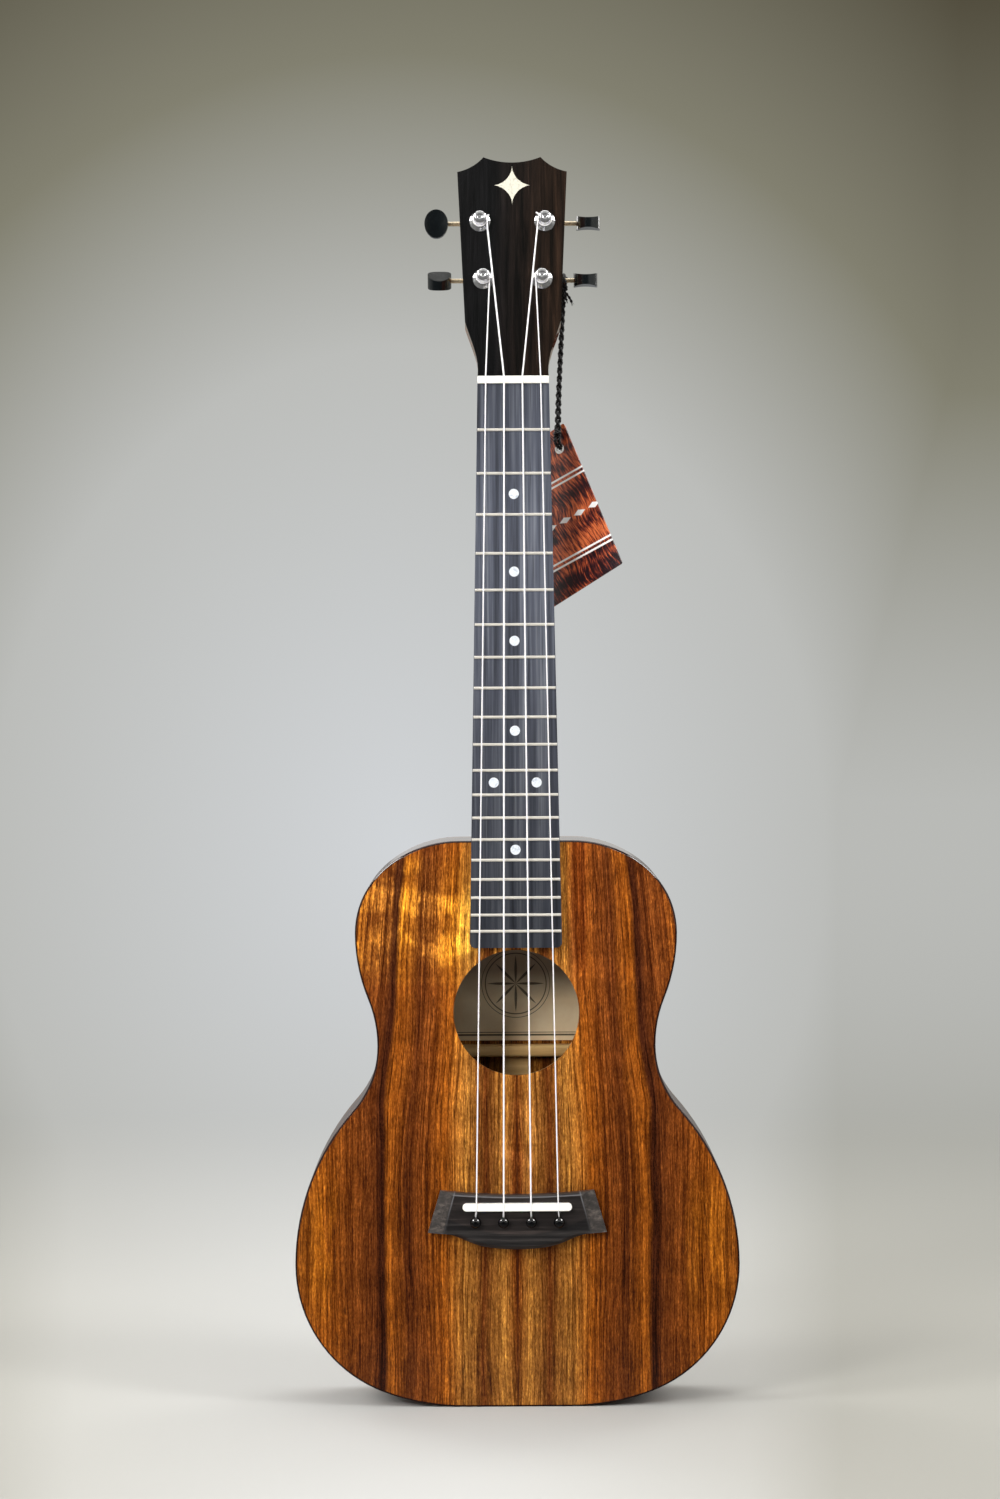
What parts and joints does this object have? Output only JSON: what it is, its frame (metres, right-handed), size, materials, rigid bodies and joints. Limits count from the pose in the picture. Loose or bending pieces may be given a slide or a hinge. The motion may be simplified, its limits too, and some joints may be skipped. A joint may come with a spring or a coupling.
{
  "type": "ukulele",
  "caption": "Tenor ukulele with a figured wood body, pinned bridge, fretted neck, tilted headstock with worm-geared tuning machines, and a hang tag on a cord.",
  "frame": {"origin": "middle of the tail end of the body, half way through its depth there", "axes": "+Z along the neck towards the headstock, the soundboard faces -Y, +X towards the treble side (the A string)"},
  "size_m": [0.2348, 0.0831, 0.6616],
  "materials": {
    "koa": "gloss lacquer over figured koa",
    "koa_side": "gloss lacquer over koa",
    "lining_wood": "bare mahogany",
    "spruce": "bare spruce",
    "label_paper": "matt parchment paper",
    "neck_wood": "gloss lacquer over mahogany",
    "ebony": "satin dark ebony",
    "headplate_veneer": "gloss dark rosewood veneer",
    "pearl": "pearl",
    "bone": "polished bone",
    "string_nylon": "clear white polymer",
    "fret_wire": "nickel silver",
    "chrome": "polished",
    "brass": "polished brass",
    "black_plastic": "gloss black",
    "black_cord": "twisted black twine",
    "tag_card": "printed gloss card",
    "white_metal": "white enamel"
  },
  "bodies": {
    "root": {"back_braces": "spruce", "back_linings": "lining_wood", "back_plate": "koa", "back_seam_strip": "spruce", "bridge": "ebony", "bridge_pins": "black_plastic", "bridge_plate": "lining_wood", "fan_braces": "spruce", "fretboard": "ebony", "frets": "fret_wire", "hang_tag": "tag_card", "headplate": "headplate_veneer", "headplate_inlay": "pearl", "heel_cap": "ebony", "neck": "neck_wood", "neck_block": "lining_wood", "neck_dowels": "spruce", "nut": "bone", "paper_label": "label_paper", "position_dots": "pearl", "saddle": "bone", "side_bass": "koa_side", "side_treble": "koa_side", "soundboard": "koa", "soundhole_braces": "spruce", "string_a": "string_nylon", "string_c": "string_nylon", "string_e": "string_nylon", "string_g": "string_nylon", "tag_cord": "black_cord", "tag_eyelet": "white_metal", "tag_hitch": "black_cord", "tag_knot": "black_cord", "tail_block": "lining_wood", "top_cross_braces": "spruce", "top_linings": "lining_wood", "tuner_bushings": "chrome", "tuner_plate_screws": "brass", "tuner_plates": "brass"},
    "worm_g": {"tuner_worm_g": "brass", "tuner_button_g": "black_plastic"},
    "post_g": {"tuner_post_g": "chrome", "tuner_wheel_g": "brass", "string_winding_g": "string_nylon"},
    "worm_c": {"tuner_worm_c": "brass", "tuner_button_c": "black_plastic"},
    "post_c": {"tuner_post_c": "chrome", "tuner_wheel_c": "brass", "string_winding_c": "string_nylon"},
    "worm_e": {"tuner_worm_e": "brass", "tuner_button_e": "black_plastic"},
    "post_e": {"tuner_post_e": "chrome", "tuner_wheel_e": "brass", "string_winding_e": "string_nylon"},
    "worm_a": {"tuner_worm_a": "brass", "tuner_button_a": "black_plastic"},
    "post_a": {"tuner_post_a": "chrome", "tuner_wheel_a": "brass", "string_winding_a": "string_nylon"}
  },
  "joints": [
    {"name": "button_turn_g", "type": "hinge", "parent": "root", "child": "worm_g", "pos_m": [-0.0155, -0.00453, 0.59676], "axis": [1, 0, 0], "continuous": true},
    {"name": "post_turn_g", "type": "hinge", "parent": "root", "child": "post_g", "pos_m": [-0.0155, -0.00571, 0.59118], "axis": [0, -0.9781, 0.2079], "continuous": true},
    {"name": "button_turn_c", "type": "hinge", "parent": "root", "child": "worm_c", "pos_m": [-0.01715, 0.00206, 0.62776], "axis": [1, 0, 0], "continuous": true},
    {"name": "post_turn_c", "type": "hinge", "parent": "root", "child": "post_c", "pos_m": [-0.01715, 0.00088, 0.62219], "axis": [0, -0.9781, 0.2079], "continuous": true},
    {"name": "button_turn_e", "type": "hinge", "parent": "root", "child": "worm_e", "pos_m": [0.01715, 0.00206, 0.62776], "axis": [1, 0, 0], "continuous": true},
    {"name": "post_turn_e", "type": "hinge", "parent": "root", "child": "post_e", "pos_m": [0.01715, 0.00088, 0.62219], "axis": [0, -0.9781, 0.2079], "continuous": true},
    {"name": "button_turn_a", "type": "hinge", "parent": "root", "child": "worm_a", "pos_m": [0.0155, -0.00453, 0.59676], "axis": [1, 0, 0], "continuous": true},
    {"name": "post_turn_a", "type": "hinge", "parent": "root", "child": "post_a", "pos_m": [0.0155, -0.00571, 0.59118], "axis": [0, -0.9781, 0.2079], "continuous": true}
  ],
  "couplings": [
    {"joint": "post_turn_g", "follows": "button_turn_g", "ratio": 0.071429},
    {"joint": "post_turn_c", "follows": "button_turn_c", "ratio": 0.071429},
    {"joint": "post_turn_e", "follows": "button_turn_e", "ratio": 0.071429},
    {"joint": "post_turn_a", "follows": "button_turn_a", "ratio": 0.071429}
  ]
}
